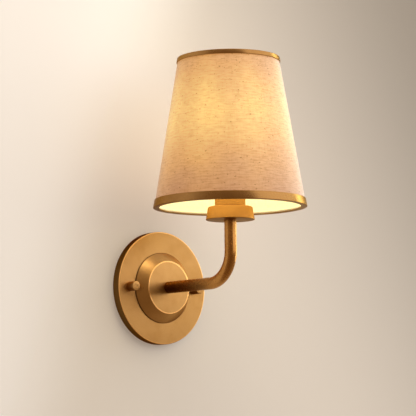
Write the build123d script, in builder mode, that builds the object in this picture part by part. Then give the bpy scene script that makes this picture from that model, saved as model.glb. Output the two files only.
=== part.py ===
"""A wall light with a tapered fabric shade: one cup and lamp socket on a bent brass arm.

Millimetres. The origin is the centre of the wall plate on the wall's surface, +Z is up, +X is
along the wall and the light stands out from the wall towards -Y.
"""

import os
from math import cos, radians, sqrt

from build123d import *

os.makedirs("parts", exist_ok=True)

# Fits
thread_gap = 0.05        # radial gap of a thread in its nut or tapped hole
turn_gap = 0.07          # radial gap of a piece that turns in another
slip_gap = 0.4           # radial gap of a ring that drops over the lamp socket
skin_gap = 0.05          # gap between the layers of the shade

# Wall plate, a shallow spun brass dish
plate_radius = 60.325
plate_depth = 8.9
plate_wall = 1.5
plate_edge = 1.0         # rounding of the front rim

# Boss, a hollow cone in the middle of the plate
boss_base_radius = 37.75
boss_face_radius = 28.2
boss_height = 11.0
boss_wall = 1.5
boss_edge = 0.6

# Arm, a bent brass tube that stands out from the boss and turns up
arm_radius = 6.35
arm_projection = 118.5   # wall to the upright part's axis
arm_bend = 32.0          # radius of the bend at the tube's axis
arm_top = 63.5           # height of the upright part's end

# Hollow threaded nipples that hold the arm at both ends
nipple_radius = 5.0
nipple_bore = 3.6
nipple_grip = 10.0       # length of nipple inside the arm
nipple_tail = 1.0        # length that stands past the rear nut
hex_flats = 14.0
hex_thickness = 3.0
washer_radius = 9.0
washer_thickness = 1.0

# Steel mounting plate behind the wall plate
stud_margin = 4.47       # steel outside each stud
slot_margin = 4.3        # steel outside each slot
bracket_thickness = 1.5
wire_hole_radius = 17.0
slot_spacing = 79.4      # between the centres of the two slots for the wall box's screws
slot_length = 14.0
slot_width = 4.6

# Two studs on the mounting plate, with the thumb nuts that hold the wall plate
stud_radius = 2.08
stud_clearance = 0.5     # radial room of a stud in the wall plate's hole
stud_engagement = 7.5    # length of stud inside a thumb nut
stud_nut_flats = 8.7
stud_nut_thickness = 3.0
thumb_radius = 5.0
thumb_length = 10.5
thumb_edge = 0.4
thumb_end_room = 1.0     # empty bore past the stud's end
thumb_boss_gap = 1.7     # between a thumb nut and the boss's foot

# Earth screw on the mounting plate
earth_radius = 1.9
earth_head_radius = 4.0
earth_head_height = 2.0
earth_slot_width = 0.9
earth_slot_depth = 1.0
earth_distance = 32.0    # from the plate's centre
earth_angle = 45.0       # degrees above the +X direction

# Cup at the top of the arm
cup_bottom_radius = 25.4
cup_top_radius = 23.1
cup_height = 13.6
cup_floor = 3.6
cup_top_edge = 2.0
cup_bottom_edge = 0.5

# Brass sleeve round the lamp socket
sleeve_radius = 15.875
sleeve_wall = 1.2
sleeve_length = 44.9
sleeve_edge = 0.3
sleeve_fit = 0.05        # radial gap of the sleeve in the cup

# Lamp socket for a small screw bulb
socket_radius = 14.0
socket_base_height = 18.0
socket_base_floor = 6.0
socket_base_chamfer = 3.0
socket_base_bore = 10.5
socket_skirt_wall = 2.0
socket_skirt_length = 35.9
socket_lip = 2.0         # thickness of the lip round the socket's mouth
socket_mouth_radius = 8.2
block_fit = 0.2
block_height = 10.0
shell_radius = 7.0       # bore of the screw shell
shell_wall = 0.4
shell_length = 21.0
shell_foot_radius = 9.5
contact_length = 10.0
contact_width = 4.0
contact_thickness = 0.5
contact_button_radius = 2.0
contact_height = 1.9     # block to the top of the contact

# Outer thread of the socket, which the shade's ring screws on to
ring_thread_pitch = 2.0
ring_thread_depth = 0.5
ring_thread_turns = 5

# Leads inside the arm
lead_radius = 1.1
lead_offset = 1.3        # of each lead's axis from the arm's axis
lead_bend = 3.0          # radius of the small bends inside the socket
terminal_offset = 5.5    # of each terminal from the socket's axis
terminal_depth = 5.0
terminal_gap = 0.1
terminal_screw_radius = 1.4
terminal_screw_rise = 3.0
terminal_screw_recess = 0.4

# Shade, a cone measured over its metal bands
shade_bottom_radius = 79.75
shade_top_radius = 53.5
shade_height = 156.4
shade_bottom = 76.4      # height of the shade's lower edge above the plate's centre
band_thickness = 1.0
bottom_band_height = 8.4
bottom_web = 6.5         # width of the lower band's flange
top_band_height = 4.7
top_web = 4.0            # width of the upper band's flange
web_thickness = 0.8
fabric_thickness = 0.6
liner_thickness = 0.4

# Wire frame of the shade
wire_radius = 1.2
spoke_count = 3
first_spoke_angle = 30.0  # degrees round from +X
fitter_radius = 21.0
fitter_thickness = 1.5
spoke_foot_radius = 19.6

# Ring that clamps the shade's fitter on the sleeve
clamp_radius = 18.0
clamp_height = 6.0
clamp_notches = 12
clamp_notch_radius = 1.2

# Globe bulb
bulb_radius = 22.5
bulb_flare = 14.0        # radius of the hollow curve between neck and globe
bulb_flare_start = 1.0   # depth in the cap at which the neck begins to flare
bulb_glass_wall = 0.8
bulb_neck_foot = 5.0     # height of the neck's closed foot above the cap's lower edge
bulb_neck_gap = 0.05
bulb_cap_wall = 0.4
bulb_cap_length = 22.5
bulb_thread_pitch = 2.822
bulb_thread_depth = 0.45
bulb_thread_turns = 5
bulb_tip_radius = 3.5
bulb_tip_height = 1.5
bulb_insulator_height = 2.0
stem_radius = 2.0
stem_wire_radius = 0.5
stem_foot_gap = 0.1
hub_radius = 7.0
hub_thickness = 0.6
filament_radius = 0.9
filament_length = 24.0
filament_circle = 5.5
filament_count = 4

# Places that follow from the sizes
plate_front = -plate_depth
boss_front = plate_front - boss_height
plate_inside = plate_front + plate_wall
stud_spacing = 2 * (boss_base_radius + thumb_boss_gap + thumb_radius)
bracket_half_width = stud_spacing / 2 + stud_radius + stud_margin
bracket_half_height = (slot_spacing + slot_length) / 2 + slot_margin
nut_rear = plate_inside + washer_thickness + hex_thickness
lead_start = nut_rear + nipple_tail
tapped_radius = nipple_radius + thread_gap
stud_bore = stud_radius + thread_gap
stud_end = plate_front - stud_engagement
cup_recess = arm_top + cup_floor
cup_top = arm_top + cup_height
socket_bottom = cup_recess + hex_thickness
riser_top = socket_bottom + socket_base_floor - nipple_tail / 2
block_bottom = socket_bottom + socket_base_height
block_top = block_bottom + block_height
skirt_top = block_bottom + socket_skirt_length
skirt_bore = socket_radius - socket_skirt_wall
block_radius = skirt_bore - block_fit
sleeve_top = cup_recess + sleeve_length
clamp_bottom = sleeve_top + fitter_thickness
clamp_bore = socket_radius + thread_gap
bulb_bottom = block_top + contact_height
cap_bottom = bulb_bottom + bulb_tip_height + bulb_insulator_height
cap_top = cap_bottom + bulb_cap_length
cap_radius = shell_radius - turn_gap
neck_radius = cap_radius - bulb_thread_depth - bulb_cap_wall - bulb_neck_gap
neck_foot = cap_bottom + bulb_neck_foot
flare_axis_radius = neck_radius + bulb_flare
flare_bottom = cap_top - bulb_flare_start
globe_centre = flare_bottom + sqrt((bulb_radius + bulb_flare) ** 2 - flare_axis_radius**2)
filament_bottom = globe_centre - filament_length / 2
filament_top = globe_centre + filament_length / 2
shade_top = shade_bottom + shade_height
shade_slope = (shade_bottom_radius - shade_top_radius) / shade_height
fabric_inset = band_thickness + skin_gap
liner_inset = fabric_inset + fabric_thickness + skin_gap
wire_inset = liner_inset + liner_thickness + skin_gap + wire_radius * sqrt(1 + shade_slope**2)
bottom_wire_z = shade_bottom + web_thickness + skin_gap + wire_radius
top_wire_z = shade_top - web_thickness - skin_gap - wire_radius

# Sketch planes: radius by depth for what turns about the plate's axis, and radius by height for
# what turns about the lamp's axis
plate_profile = Plane.XY
plate_axis = Axis.Y
lamp_profile = Plane.XZ.offset(arm_projection)
lamp_axis = Axis((0, -arm_projection, 0), (0, 0, 1))


def wall_plane(y):
    """The plane at depth y that faces away from the wall, with X along the wall and Z up."""
    return Plane.XZ.offset(-y)


def lamp_plane(z):
    """The level plane at height z, centred on the lamp's axis."""
    return Plane((0, -arm_projection, z))


def shade_radius(z, inset):
    """Radius of the shade's cone at height z, inset from the outside of its bands."""
    return shade_bottom_radius - shade_slope * (z - shade_bottom) - inset


def finish(piece, name):
    """Labels a finished piece and writes it."""
    piece.part.label = name
    export_step(piece.part, f"parts/{name}.step")


# Steel mounting plate, screwed to the wall box through its two slots
stud_places = [(-stud_spacing / 2, 0), (stud_spacing / 2, 0)]
earth_place = (
    earth_distance * cos(radians(earth_angle)),
    earth_distance * cos(radians(90 - earth_angle)),
)
with BuildPart() as mounting_plate:
    with BuildSketch(wall_plane(0)):
        Ellipse(bracket_half_width, bracket_half_height)
        Circle(wire_hole_radius, mode=Mode.SUBTRACT)
        with Locations((0, -slot_spacing / 2), (0, slot_spacing / 2)):
            SlotOverall(slot_length, slot_width, rotation=90, mode=Mode.SUBTRACT)
        with Locations(stud_places):
            Circle(stud_bore, mode=Mode.SUBTRACT)
        with Locations(earth_place):
            Circle(earth_radius + thread_gap, mode=Mode.SUBTRACT)
    extrude(amount=bracket_thickness)
finish(mounting_plate, "mounting_plate")

with BuildPart() as threaded_studs:
    with BuildSketch(wall_plane(0)):
        with Locations(stud_places):
            Circle(stud_radius)
    extrude(amount=-stud_end)
finish(threaded_studs, "threaded_studs")

with BuildPart() as stud_lock_nuts:
    with BuildSketch(wall_plane(-bracket_thickness)):
        with Locations(stud_places):
            RegularPolygon(stud_nut_flats / 2, 6, major_radius=False)
            Circle(stud_bore, mode=Mode.SUBTRACT)
    extrude(amount=stud_nut_thickness)
finish(stud_lock_nuts, "stud_lock_nuts")

with BuildPart() as ground_screw:
    with BuildSketch(wall_plane(0)):
        with Locations(earth_place):
            Circle(earth_radius)
    extrude(amount=bracket_thickness)
    with BuildSketch(wall_plane(-bracket_thickness)):
        with Locations(earth_place):
            Circle(earth_head_radius)
    extrude(amount=earth_head_height)
    with BuildSketch(wall_plane(-bracket_thickness - earth_head_height)):
        with Locations(earth_place):
            Rectangle(2 * earth_head_radius, earth_slot_width)
    extrude(amount=-earth_slot_depth, mode=Mode.SUBTRACT)
finish(ground_screw, "ground_screw")

# Wall plate and boss
with BuildPart() as backplate:
    with BuildSketch(plate_profile):
        with BuildLine():
            Polyline(
                (tapped_radius, plate_front),
                (plate_radius, plate_front),
                (plate_radius, 0),
                (plate_radius - plate_wall, 0),
                (plate_radius - plate_wall, plate_inside),
                (tapped_radius, plate_inside),
                close=True,
            )
        make_face()
        rim = [v for v in vertices() if v.X > plate_radius - plate_wall / 2 and v.Y < plate_inside]
        fillet(rim, plate_edge)
    revolve(axis=plate_axis)
    with BuildSketch(wall_plane(plate_inside)):
        with Locations(stud_places):
            Circle(stud_radius + stud_clearance)
    extrude(amount=plate_wall, mode=Mode.SUBTRACT)
finish(backplate, "backplate")

boss_lean = sqrt(1 + ((boss_base_radius - boss_face_radius) / boss_height) ** 2)
boss_wall_radial = boss_wall * boss_lean
with BuildPart() as boss:
    with BuildSketch(plate_profile):
        inner_face = boss_face_radius - boss_wall_radial + boss_wall * (
            (boss_base_radius - boss_face_radius) / boss_height
        )
        with BuildLine():
            Polyline(
                (tapped_radius, boss_front),
                (boss_face_radius, boss_front),
                (boss_base_radius, plate_front),
                (boss_base_radius - boss_wall_radial, plate_front),
                (inner_face, boss_front + boss_wall),
                (tapped_radius, boss_front + boss_wall),
                close=True,
            )
        make_face()
        fillet(vertices().sort_by(Axis.Y)[:2].sort_by(Axis.X)[-1], boss_edge)
    revolve(axis=plate_axis)
finish(boss, "boss")

# Arm
with BuildPart() as arm_tube:
    with BuildLine() as arm_route:
        FilletPolyline(
            (0, boss_front, 0),
            (0, -arm_projection, 0),
            (0, -arm_projection, arm_top),
            radius=arm_bend,
        )
    with BuildSketch(wall_plane(boss_front)):
        Circle(arm_radius)
        Circle(tapped_radius, mode=Mode.SUBTRACT)
    sweep(path=arm_route.line)
finish(arm_tube, "arm_tube")

with BuildPart() as rear_nipple:
    with BuildSketch(wall_plane(lead_start)):
        Circle(nipple_radius)
        Circle(nipple_bore, mode=Mode.SUBTRACT)
    extrude(amount=lead_start - boss_front + nipple_grip)
finish(rear_nipple, "rear_nipple")

with BuildPart() as rear_washer:
    with BuildSketch(wall_plane(plate_inside + washer_thickness)):
        Circle(washer_radius)
        Circle(tapped_radius, mode=Mode.SUBTRACT)
    extrude(amount=washer_thickness)
finish(rear_washer, "rear_washer")

with BuildPart() as rear_hex_nut:
    with BuildSketch(wall_plane(nut_rear)):
        RegularPolygon(hex_flats / 2, 6, major_radius=False)
        Circle(tapped_radius, mode=Mode.SUBTRACT)
    extrude(amount=hex_thickness)
finish(rear_hex_nut, "rear_hex_nut")

with BuildPart() as riser_nipple:
    with BuildSketch(lamp_plane(arm_top - nipple_grip)):
        Circle(nipple_radius)
        Circle(nipple_bore, mode=Mode.SUBTRACT)
    extrude(amount=riser_top - arm_top + nipple_grip)
finish(riser_nipple, "riser_nipple")

# Thumb nuts, smooth turned cylinders with a blind thread
for side, name in ((-1, "left_thumb_nut"), (1, "right_thumb_nut")):
    with BuildPart() as thumb_nut:
        with BuildSketch(wall_plane(plate_front)):
            with Locations((side * stud_spacing / 2, 0)):
                Circle(thumb_radius)
        extrude(amount=thumb_length)
        chamfer(thumb_nut.edges().group_by(Axis.Y)[0], thumb_edge)
        with BuildSketch(wall_plane(plate_front)):
            with Locations((side * stud_spacing / 2, 0)):
                Circle(stud_bore)
        extrude(amount=stud_engagement + thumb_end_room, mode=Mode.SUBTRACT)
    finish(thumb_nut, name)

# Cup, turned from brass, with a recess that seats the sleeve
with BuildPart() as cup:
    with BuildSketch(lamp_profile):
        with BuildLine():
            Polyline(
                (tapped_radius, arm_top),
                (cup_bottom_radius, arm_top),
                (cup_top_radius, cup_top),
                (sleeve_radius + sleeve_fit, cup_top),
                (sleeve_radius + sleeve_fit, cup_recess),
                (tapped_radius, cup_recess),
                close=True,
            )
        make_face()
        corners = vertices().sort_by(Axis.X)
        fillet(corners[-1], cup_bottom_edge)
        fillet(vertices().group_by(Axis.Y)[-1].sort_by(Axis.X)[-1], cup_top_edge)
    revolve(axis=lamp_axis)
finish(cup, "cup")

with BuildPart() as cup_lock_nut:
    with BuildSketch(lamp_plane(cup_recess)):
        RegularPolygon(hex_flats / 2, 6, major_radius=False)
        Circle(tapped_radius, mode=Mode.SUBTRACT)
    extrude(amount=hex_thickness)
finish(cup_lock_nut, "cup_lock_nut")

with BuildPart() as socket_sleeve:
    with BuildSketch(lamp_plane(cup_recess)):
        Circle(sleeve_radius)
        Circle(sleeve_radius - sleeve_wall, mode=Mode.SUBTRACT)
    extrude(amount=sleeve_length)
    chamfer(socket_sleeve.edges().group_by(Axis.Z)[-1].sort_by(SortBy.LENGTH)[-1], sleeve_edge)
finish(socket_sleeve, "socket_sleeve")

# Lamp socket
with BuildPart() as socket_base:
    with BuildSketch(lamp_profile):
        with BuildLine():
            Polyline(
                (tapped_radius, socket_bottom),
                (socket_radius - socket_base_chamfer, socket_bottom),
                (socket_radius, socket_bottom + socket_base_chamfer),
                (socket_radius, block_bottom),
                (socket_base_bore, block_bottom),
                (socket_base_bore, socket_bottom + socket_base_floor),
                (tapped_radius, socket_bottom + socket_base_floor),
                close=True,
            )
        make_face()
    revolve(axis=lamp_axis)
finish(socket_base, "socket_base")

first_thread = skirt_top - socket_lip - ring_thread_turns * ring_thread_pitch
with BuildPart() as socket_skirt:
    with BuildSketch(lamp_profile):
        with BuildLine():
            Polyline(
                (skirt_bore, block_bottom),
                (socket_radius, block_bottom),
                (socket_radius, skirt_top),
                (socket_mouth_radius, skirt_top),
                (socket_mouth_radius, skirt_top - socket_lip),
                (skirt_bore, skirt_top - socket_lip),
                close=True,
            )
        make_face()
        for turn in range(ring_thread_turns):
            foot = first_thread + turn * ring_thread_pitch
            with BuildLine():
                Polyline(
                    (socket_radius, foot),
                    (socket_radius - ring_thread_depth, foot + ring_thread_pitch / 2),
                    (socket_radius, foot + ring_thread_pitch),
                    close=True,
                )
            make_face(mode=Mode.SUBTRACT)
    revolve(axis=lamp_axis)
finish(socket_skirt, "socket_skirt")

terminal_places = [(-terminal_offset, 0), (terminal_offset, 0)]
terminal_height = block_bottom + terminal_screw_rise
with BuildPart() as terminal_block:
    with BuildSketch(lamp_plane(block_bottom)):
        Circle(block_radius)
    extrude(amount=block_height)
    with BuildSketch(lamp_plane(block_bottom)):
        with Locations(terminal_places):
            Circle(lead_radius + terminal_gap)
    extrude(amount=terminal_depth, mode=Mode.SUBTRACT)
    with Locations(Plane((0, -arm_projection, terminal_height), z_dir=(1, 0, 0))):
        for way in (-1, 1):
            with Locations((0, 0, way * (terminal_offset + block_radius) / 2)):
                Cylinder(
                    terminal_screw_radius + thread_gap,
                    block_radius - terminal_offset,
                    mode=Mode.SUBTRACT,
                )
finish(terminal_block, "terminal_block")

screw_start = terminal_offset + lead_radius + skin_gap
screw_end = block_radius - terminal_screw_recess
with BuildPart() as terminal_screws:
    with Locations(Plane((0, -arm_projection, terminal_height), z_dir=(1, 0, 0))):
        for way in (-1, 1):
            with Locations((0, 0, way * (screw_start + screw_end) / 2)):
                Cylinder(terminal_screw_radius, screw_end - screw_start)
finish(terminal_screws, "terminal_screws")

with BuildPart() as screw_shell:
    with BuildSketch(lamp_plane(block_top)):
        Circle(shell_radius + shell_wall)
        Circle(shell_radius, mode=Mode.SUBTRACT)
    extrude(amount=shell_length)
    with BuildSketch(lamp_plane(block_top)):
        Circle(shell_foot_radius)
        Circle(shell_radius, mode=Mode.SUBTRACT)
    extrude(amount=shell_wall)
finish(screw_shell, "screw_shell")

with BuildPart() as centre_contact:
    with BuildSketch(lamp_plane(block_top)):
        Rectangle(contact_length, contact_width)
    extrude(amount=contact_thickness)
    with BuildSketch(lamp_plane(block_top)):
        Circle(contact_button_radius)
    extrude(amount=contact_height)
finish(centre_contact, "centre_contact")

# Leads from behind the wall plate to the socket's terminals, inside the arm
lead_turn_low = riser_top + nipple_tail
lead_turn_high = lead_turn_low + terminal_offset - lead_offset
for side, name in ((-1, "live_lead"), (1, "neutral_lead")):
    inner = side * lead_offset
    outer = side * terminal_offset
    with BuildPart() as lead:
        with BuildLine() as lead_route:
            FilletPolyline(
                (inner, lead_start, 0),
                (inner, -arm_projection, 0),
                (inner, -arm_projection, lead_turn_low),
                (outer, -arm_projection, lead_turn_high),
                (outer, -arm_projection, block_bottom + terminal_depth),
                radius=[arm_bend, lead_bend, lead_bend],
            )
        with BuildSketch(wall_plane(lead_start)):
            with Locations((inner, 0)):
                Circle(lead_radius)
        sweep(path=lead_route.line)
    finish(lead, name)

# Shade
with BuildPart() as shade_fabric:
    low = shade_bottom + web_thickness + skin_gap
    high = shade_top - web_thickness - skin_gap
    with BuildSketch(lamp_profile):
        with BuildLine():
            Polyline(
                (shade_radius(low, fabric_inset), low),
                (shade_radius(high, fabric_inset), high),
                (shade_radius(high, fabric_inset + fabric_thickness), high),
                (shade_radius(low, fabric_inset + fabric_thickness), low),
                close=True,
            )
        make_face()
    revolve(axis=lamp_axis)
finish(shade_fabric, "shade_fabric")

with BuildPart() as shade_liner:
    with BuildSketch(lamp_profile):
        with BuildLine():
            Polyline(
                (shade_radius(low, liner_inset), low),
                (shade_radius(high, liner_inset), high),
                (shade_radius(high, liner_inset + liner_thickness), high),
                (shade_radius(low, liner_inset + liner_thickness), low),
                close=True,
            )
        make_face()
    revolve(axis=lamp_axis)
finish(shade_liner, "shade_liner")

with BuildPart() as bottom_trim_band:
    band_top = shade_bottom + bottom_band_height
    web_top = shade_bottom + web_thickness
    with BuildSketch(lamp_profile):
        with BuildLine():
            Polyline(
                (shade_bottom_radius - bottom_web, shade_bottom),
                (shade_bottom_radius, shade_bottom),
                (shade_radius(band_top, 0), band_top),
                (shade_radius(band_top, band_thickness), band_top),
                (shade_radius(web_top, band_thickness), web_top),
                (shade_bottom_radius - bottom_web, web_top),
                close=True,
            )
        make_face()
        fillet(vertices().sort_by(Axis.X)[-1], web_thickness / 2)
    revolve(axis=lamp_axis)
finish(bottom_trim_band, "bottom_trim_band")

with BuildPart() as top_trim_band:
    band_low = shade_top - top_band_height
    web_low = shade_top - web_thickness
    with BuildSketch(lamp_profile):
        with BuildLine():
            Polyline(
                (shade_top_radius - top_web, shade_top),
                (shade_top_radius, shade_top),
                (shade_radius(band_low, 0), band_low),
                (shade_radius(band_low, band_thickness), band_low),
                (shade_radius(web_low, band_thickness), web_low),
                (shade_top_radius - top_web, web_low),
                close=True,
            )
        make_face()
        fillet(vertices().group_by(Axis.Y)[-1].sort_by(Axis.X)[-1], web_thickness / 2)
    revolve(axis=lamp_axis)
finish(top_trim_band, "top_trim_band")

with BuildPart() as bottom_wire_ring:
    with BuildSketch(lamp_profile):
        with Locations((shade_radius(bottom_wire_z, wire_inset), bottom_wire_z)):
            Circle(wire_radius)
    revolve(axis=lamp_axis)
finish(bottom_wire_ring, "bottom_wire_ring")

# Wire frame: the top ring, spokes that drop to the fitter, and the fitter's flat ring
top_wire_radius = shade_radius(top_wire_z, wire_inset)
spoke_foot_z = sleeve_top + fitter_thickness / 2
with BuildPart() as shade_frame:
    with BuildSketch(lamp_profile):
        with Locations((top_wire_radius, top_wire_z)):
            Circle(wire_radius)
    revolve(axis=lamp_axis)
    with BuildSketch(lamp_plane(sleeve_top)):
        Circle(fitter_radius)
        Circle(socket_radius + slip_gap, mode=Mode.SUBTRACT)
    extrude(amount=fitter_thickness)
    foot = Vector(spoke_foot_radius, 0, spoke_foot_z)
    head = Vector(top_wire_radius, 0, top_wire_z)
    for spoke in range(spoke_count):
        turn = first_spoke_angle + spoke * 360 / spoke_count
        spoke_start = foot.rotate(Axis.Z, turn) + Vector(0, -arm_projection, 0)
        spoke_run = (head - foot).rotate(Axis.Z, turn)
        with BuildSketch(Plane(spoke_start, z_dir=spoke_run)):
            Circle(wire_radius)
        extrude(amount=spoke_run.length)
    # the spokes' feet are ground flush with the fitter's underside
    with BuildSketch(lamp_plane(sleeve_top)):
        Circle(fitter_radius + wire_radius)
    extrude(amount=-fitter_thickness, mode=Mode.SUBTRACT)
finish(shade_frame, "shade_frame")

with BuildPart() as shade_retaining_ring:
    with BuildSketch(lamp_plane(clamp_bottom)):
        Circle(clamp_radius)
        Circle(clamp_bore, mode=Mode.SUBTRACT)
        with PolarLocations(clamp_radius, clamp_notches):
            Circle(clamp_notch_radius, mode=Mode.SUBTRACT)
    extrude(amount=clamp_height)
finish(shade_retaining_ring, "shade_retaining_ring")

# Bulb
with BuildPart() as bulb_contact:
    with BuildSketch(lamp_plane(bulb_bottom)):
        Circle(bulb_tip_radius)
    extrude(amount=bulb_tip_height)
finish(bulb_contact, "bulb_contact")

with BuildPart() as bulb_insulator:
    insulator_bottom = bulb_bottom + bulb_tip_height
    with BuildSketch(lamp_profile):
        with BuildLine():
            Polyline(
                (0, insulator_bottom),
                (bulb_tip_radius, insulator_bottom),
                (cap_radius - bulb_thread_depth, cap_bottom),
                (0, cap_bottom),
                close=True,
            )
        make_face()
    revolve(axis=lamp_axis)
finish(bulb_insulator, "bulb_insulator")

cap_root = cap_radius - bulb_thread_depth
with BuildPart() as bulb_cap:
    with BuildSketch(lamp_profile):
        with Locations((cap_root - bulb_cap_wall / 2, (cap_bottom + cap_top) / 2)):
            Rectangle(bulb_cap_wall, bulb_cap_length)
        for turn in range(bulb_thread_turns):
            crest = cap_bottom + (turn + 1) * bulb_thread_pitch
            with BuildLine():
                Polyline(
                    (cap_root, crest - bulb_thread_pitch / 2),
                    (cap_radius, crest - bulb_thread_depth / 2),
                    (cap_radius, crest + bulb_thread_depth / 2),
                    (cap_root, crest + bulb_thread_pitch / 2),
                    close=True,
                )
            make_face()
    revolve(axis=lamp_axis)
finish(bulb_cap, "bulb_cap")


def bulb_outline(inset, foot_height):
    """Edges of half the outline of globe, hollow flare and neck, inset from the glass's outside."""
    globe = bulb_radius - inset
    neck = neck_radius - inset
    share = globe / (bulb_radius + bulb_flare)
    join = (share * flare_axis_radius, globe_centre + share * (flare_bottom - globe_centre))
    neck_top = (neck, flare_bottom)
    with BuildLine() as outline:
        Polyline((0, globe_centre + globe), (0, foot_height), (neck, foot_height), neck_top)
        TangentArc(neck_top, join, tangent=(0, 1))
        TangentArc(join, (0, globe_centre + globe), tangent=outline.edges()[-1] % 1)
    return outline.edges()


with BuildPart() as bulb_glass:
    with BuildSketch(lamp_profile):
        make_face(bulb_outline(0, neck_foot))
    revolve(axis=lamp_axis)
    with BuildSketch(lamp_profile):
        make_face(bulb_outline(bulb_glass_wall, neck_foot + bulb_glass_wall))
    revolve(axis=lamp_axis, mode=Mode.SUBTRACT)
finish(bulb_glass, "bulb_glass")

with BuildPart() as bulb_stem:
    stem_foot = neck_foot + bulb_glass_wall + stem_foot_gap
    for level, radius, height in (
        (stem_foot, stem_radius, filament_bottom - hub_thickness - stem_foot),
        (filament_bottom - hub_thickness, hub_radius, hub_thickness),
        (filament_bottom, stem_wire_radius, filament_length),
        (filament_top, hub_radius, hub_thickness),
    ):
        with BuildSketch(lamp_plane(level)):
            Circle(radius)
        extrude(amount=height)
finish(bulb_stem, "bulb_stem")

with BuildPart() as bulb_filaments:
    with BuildSketch(lamp_plane(filament_bottom)):
        with PolarLocations(filament_circle, filament_count):
            Circle(filament_radius)
    extrude(amount=filament_length)
finish(bulb_filaments, "bulb_filaments")
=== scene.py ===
"""Looks of a wall light with a tapered linen shade on a bent brass arm.

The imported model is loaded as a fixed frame. Each operator below makes one piece, or one group of
like pieces, in the frame's own metres: +Z is up and the light stands out from the wall towards -Y.
"""

from math import atan2, cos, hypot, pi, radians, sin, sqrt, tan

import bpy
from bpy.props import FloatProperty, FloatVectorProperty, IntProperty, PointerProperty
from bpy.types import Operator, Panel, PropertyGroup
from mathutils import Matrix, Vector, noise


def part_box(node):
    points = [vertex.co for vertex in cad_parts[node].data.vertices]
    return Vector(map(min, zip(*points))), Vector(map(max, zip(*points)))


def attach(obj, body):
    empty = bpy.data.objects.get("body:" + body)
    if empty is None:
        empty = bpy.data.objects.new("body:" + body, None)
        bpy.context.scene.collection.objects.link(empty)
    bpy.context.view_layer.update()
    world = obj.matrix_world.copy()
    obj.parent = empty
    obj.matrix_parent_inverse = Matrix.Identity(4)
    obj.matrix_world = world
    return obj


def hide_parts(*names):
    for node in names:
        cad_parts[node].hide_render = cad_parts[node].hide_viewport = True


bl_info = {
    "name": "Fabric shade wall light",
    "version": (1, 0, 0),
    "blender": (4, 5, 0),
    "location": "View3D > Sidebar > Wall Light",
    "description": "Dresses the wall light's frame with turned brass, linen and a lit bulb",
    "category": "Object",
}

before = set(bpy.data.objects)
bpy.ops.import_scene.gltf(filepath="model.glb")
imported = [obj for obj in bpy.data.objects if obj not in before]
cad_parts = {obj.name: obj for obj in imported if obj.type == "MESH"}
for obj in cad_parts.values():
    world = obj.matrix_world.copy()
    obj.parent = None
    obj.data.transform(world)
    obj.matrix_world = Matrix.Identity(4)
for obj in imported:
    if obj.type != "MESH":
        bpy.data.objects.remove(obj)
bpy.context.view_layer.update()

MM = 0.001
IMAGE_SIZE = 416
SENSOR = 36.0

# Sizes that the frame gives
plate_low, plate_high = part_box("backplate")
boss_low, boss_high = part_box("boss")
arm_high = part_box("arm_tube")[1]
cup_low, cup_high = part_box("cup")
sleeve_low, sleeve_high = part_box("socket_sleeve")
nut_low, nut_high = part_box("left_thumb_nut")
linen_low, linen_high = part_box("shade_fabric")
liner_low, liner_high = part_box("shade_liner")
lower_band_low, lower_band_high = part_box("bottom_trim_band")
upper_band_low, upper_band_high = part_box("top_trim_band")
glass_low, glass_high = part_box("bulb_glass")

PLATE_RADIUS = plate_high.z
PLATE_DEPTH = -plate_low.y
BOSS_RADIUS = boss_high.x
BOSS_FACE = -boss_low.y
ARM_RADIUS = arm_high.x
LAMP_Y = (cup_low.y + cup_high.y) / 2
ARM_TOP = arm_high.z
CUP_TOP = cup_high.z
SLEEVE_RADIUS = sleeve_high.x
SHADE_LOW = lower_band_low.z
SHADE_HIGH = upper_band_high.z

# Sizes of the CAD source that the boxes don't give
BOSS_FACE_RADIUS = 28.2 * MM
SHEET_WALL = 1.5 * MM
ARM_BEND = 32.0 * MM
ARM_BORE = 5.05 * MM
CUP_TOP_RADIUS = 23.1 * MM
CUP_BOTTOM_RADIUS = 25.4 * MM
CUP_FLOOR = 3.6 * MM
SLEEVE_WALL = 1.2 * MM
STUD_BORE = 2.13 * MM
STUD_DEPTH = 8.5 * MM
SHADE_LOW_RADIUS = 79.75 * MM
SHADE_HIGH_RADIUS = 53.5 * MM
BAND_THICKNESS = 1.0 * MM
LOWER_WEB = 6.5 * MM
UPPER_WEB = 4.0 * MM
WEB_THICKNESS = 0.8 * MM
LINEN_THICKNESS = 0.6 * MM
LINER_THICKNESS = 0.4 * MM
SKIN_GAP = 0.05 * MM
BULB_RADIUS = 22.5 * MM
BULB_FLARE = 14.0 * MM
BULB_NECK = 6.03 * MM
BULB_WALL = 0.8 * MM
SLOPE = (SHADE_LOW_RADIUS - SHADE_HIGH_RADIUS) / (SHADE_HIGH - SHADE_LOW)
GLOBE_CENTRE = glass_high.z - BULB_RADIUS

# Modelling tolerances and the stage
MERGE_DISTANCE = 0.004 * MM
SMALLEST_RADIUS = 1e-7
SMOOTH_ANGLE = 28.0
CLOTH_FACETS = 256
STAGE_SIZE = 12.0
WALL_GAP = 1.2 * MM
FLOOR_HEIGHT = -0.9


# Shader maths


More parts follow.
